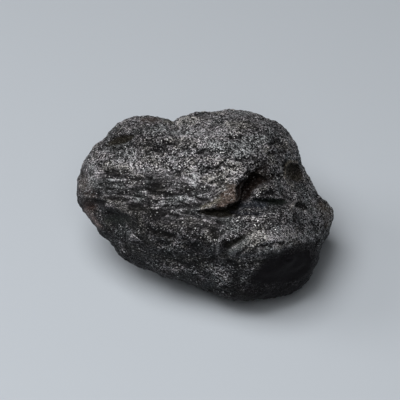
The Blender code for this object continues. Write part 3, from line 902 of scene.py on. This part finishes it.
def rough_normal(nodes, chance_colour, fleck, grainy):
    """The skin's normal, turned by chance on each small grain, and uneven between them."""
    turned = nodes.vector("SUBTRACT", {0: chance_colour, 1: (0.5, 0.5, 0.5)})
    turned = nodes.vector("SCALE", {0: turned, "Scale": grainy})
    true_normal = nodes.add("ShaderNodeNewGeometry").outputs["Normal"]
    turned = nodes.vector("NORMALIZE", {0: nodes.vector("ADD", {0: true_normal, 1: turned})})
    bump = nodes.add("ShaderNodeBump", {"Height": fleck, "Distance": BUMP_DEPTH * MM, "Normal": turned})
    nodes.join(nodes.times(grainy, BUMP_STRENGTH), bump.inputs["Strength"])
    return bump.outputs[0]


def glass():
    """Near-black glass with pale grains under painted light and shade, small glints partly painted into the
    flakes' colour, and stains and painted shade where the skin carries them.
    """
    nodes = Nodes("dark_glass")
    place = nodes.add("ShaderNodeTexCoord").outputs["Object"]
    in_mm = nodes.vector("MULTIPLY", {0: place, 1: (0.8 / MM, 1.0 / MM, 1.0 / MM)})
    dashes = nodes.vector("MULTIPLY", {0: nodes.attribute("flow", "Vector"), 1: DASH_STRETCH})
    layered = nodes.attribute("layered")
    bare = nodes.attribute("bareness")
    pale_and_painted_light = nodes.attribute("pale_and_painted_light")
    grainy = nodes.maths("SUBTRACT", 1.0, bare)
    cells = nodes.mix(layered, nodes.cells(in_mm, GRAIN_CELLS), nodes.cells(dashes, DASH_CELLS))
    small_cells = nodes.cells(in_mm, SMALL_CELLS)
    glint_chance = nodes.channels(nodes.cells(in_mm, GLINT_CELLS))
    fleck = nodes.noise(in_mm, scale=4.0, detail=3.0)

    both = nodes.times(nodes.channels(cells)["Red"], nodes.channels(small_cells)["Red"])
    cloud = nodes.noise(in_mm, scale=0.22, detail=3.0)
    tone = nodes.ramp(cloud, CLOUD_TONES)
    grains = nodes.mix(1.0, grain_paleness(nodes, both, fleck, layered, pale_and_painted_light), tone, "MULTIPLY")
    stain_and_painted_shade = nodes.attribute("stain_and_painted_shade", "Color")
    grainy_stain_and_shade = nodes.mix(1.0, stain_and_painted_shade, nodes.times(both, STAIN_AND_SHADE_GAIN), "MULTIPLY")
    mottled = nodes.mix(STAIN_AND_SHADE_MOTTLE, stain_and_painted_shade, grainy_stain_and_shade)
    colour = nodes.mix(nodes.attribute("stain_and_shade_strength"), grains, mottled)

    # The flakes are half metallic and turned to catch the lamps; their pale colour is partly a painted glint
    flake = flakes(nodes, glint_chance["Green"], layered, pale_and_painted_light, grainy)
    flake_colour_and_painted_glint = nodes.ramp(glint_chance["Blue"], FLAKE_TONES_AND_PAINTED_GLINT)
    nodes.join(nodes.mix(flake, colour, flake_colour_and_painted_glint), nodes.shader.inputs["Base Color"])
    nodes.join(nodes.times(flake, FLAKE_METAL), nodes.shader.inputs["Metallic"])
    gloss = nodes.mix(flake, GRAIN_ROUGHNESS, FLAKE_ROUGHNESS)
    nodes.join(nodes.mix(bare, gloss, BARE_ROUGHNESS), nodes.shader.inputs["Roughness"])
    nodes.shader.inputs["Specular IOR Level"].default_value = SPECULAR
    nodes.join(rough_normal(nodes, small_cells, fleck, grainy), nodes.shader.inputs["Normal"])
    return nodes.material


def make_stone(frame):
    node = frame["nodes"][NODE]
    low, high = (np.array(corner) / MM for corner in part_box(NODE))
    skin = Skin(fine_mesh(node))
    low_normals = skin.normals.copy()
    press_areas(skin)
    bare = bareness(skin)
    place = flow_places(skin)
    band = band_share(skin)
    rough = 1.0 - LOST_WHERE_BARE * bare
    lumpy = (layer_lines(place, band) + lumps(skin) * (1.0 - LUMPS_LOST_IN_BAND * band)) * rough
    grainy = (grain(skin) * (1.0 - GRAIN_LOST_IN_BAND * band) + pits(skin)) * rough
    marked = marked_heights(skin)
    bends = heights_of(skin, BENDS) * skin.near_half
    skin.raise_by(lumpy + grainy + marked + bends - DRAWN_IN)
    stay_in_box(skin, low, high)

    colour, strength = stain_and_shade_colours(skin)
    opaque = np.ones((len(colour), 1))
    store(skin.mesh, "stain_and_painted_shade", "FLOAT_COLOR", np.concatenate((colour, opaque), axis=1))
    store(skin.mesh, "stain_and_shade_strength", "FLOAT", strength)
    store(skin.mesh, "flow", "FLOAT_VECTOR", place)
    store(skin.mesh, "layered", "FLOAT", band)
    store(skin.mesh, "bareness", "FLOAT", bare)
    store(skin.mesh, "pale_and_painted_light", "FLOAT", pale_grain_and_painted_light(skin, low_normals))
    store(skin.mesh, "relief_light_and_shade", "FLOAT", painted_relief_light_and_shade(lumpy, grainy, marked))
    skin.mesh.materials.clear()
    skin.mesh.materials.append(glass())
    skin.mesh.shade_smooth()
    stone = bpy.data.objects.new("tektite_skin", skin.mesh)
    bpy.context.scene.collection.objects.link(stone)
    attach(stone, "root")
    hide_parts(NODE)


def make_floor():
    bpy.ops.mesh.primitive_plane_add(size=FLOOR_SIZE)
    floor = bpy.context.object
    floor.name = "floor"
    nodes = Nodes("pale_floor")
    nodes.shader.inputs["Base Color"].default_value = FLOOR_COLOUR
    nodes.shader.inputs["Roughness"].default_value = FLOOR_ROUGHNESS
    floor.data.materials.append(nodes.material)


def make_light(name, softbox):
    """A round softbox that shines on the stone."""
    light = bpy.data.lights.new(name, "AREA")
    light.shape = "DISK"
    light.size = softbox.size
    light.energy = softbox.power
    lamp = bpy.data.objects.new(name, light)
    bpy.context.scene.collection.objects.link(lamp)
    turn, rise = math.radians(softbox.turn), math.radians(softbox.rise)
    towards = Vector(
        (math.sin(turn) * math.cos(rise), -math.cos(turn) * math.cos(rise), math.sin(rise))
    )
    lamp.location = towards * SOFTBOX_DISTANCE
    lamp.rotation_euler = towards.to_track_quat("Z", "Y").to_euler()


def make_room_light():
    """A little even light from all sides."""
    world = bpy.data.worlds.new("studio")
    bpy.context.scene.world = world
    world.use_nodes = True
    background = world.node_tree.nodes["Background"]
    background.inputs["Color"].default_value = ROOM_LIGHT_COLOUR
    background.inputs["Strength"].default_value = ROOM_LIGHT_STRENGTH
    bpy.context.scene.view_settings.view_transform = "Standard"


def make_camera():
    near = view_axes()[2]
    aim, distance = camera_place()
    data = bpy.data.cameras.new("camera")
    data.lens = LENS
    data.sensor_width = SENSOR
    data.clip_start = NEAREST_SEEN
    camera = bpy.data.objects.new("camera", data)
    bpy.context.scene.collection.objects.link(camera)
    camera.location = Vector((aim + near * distance) * MM)
    camera.rotation_euler = (math.radians(90.0 - LOOK_UP), 0.0, 0.0)
    bpy.context.scene.camera = camera


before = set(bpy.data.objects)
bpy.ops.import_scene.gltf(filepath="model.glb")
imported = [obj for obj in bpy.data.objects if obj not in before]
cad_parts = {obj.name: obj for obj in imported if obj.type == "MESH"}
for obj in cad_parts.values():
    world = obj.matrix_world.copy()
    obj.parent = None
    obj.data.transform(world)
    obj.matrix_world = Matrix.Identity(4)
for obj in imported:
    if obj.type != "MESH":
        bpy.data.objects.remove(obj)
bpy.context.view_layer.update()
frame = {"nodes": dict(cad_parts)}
make_camera()
for name, softbox in SOFTBOXES.items():
    make_light(name, softbox)
make_room_light()
make_floor()
make_stone(frame)
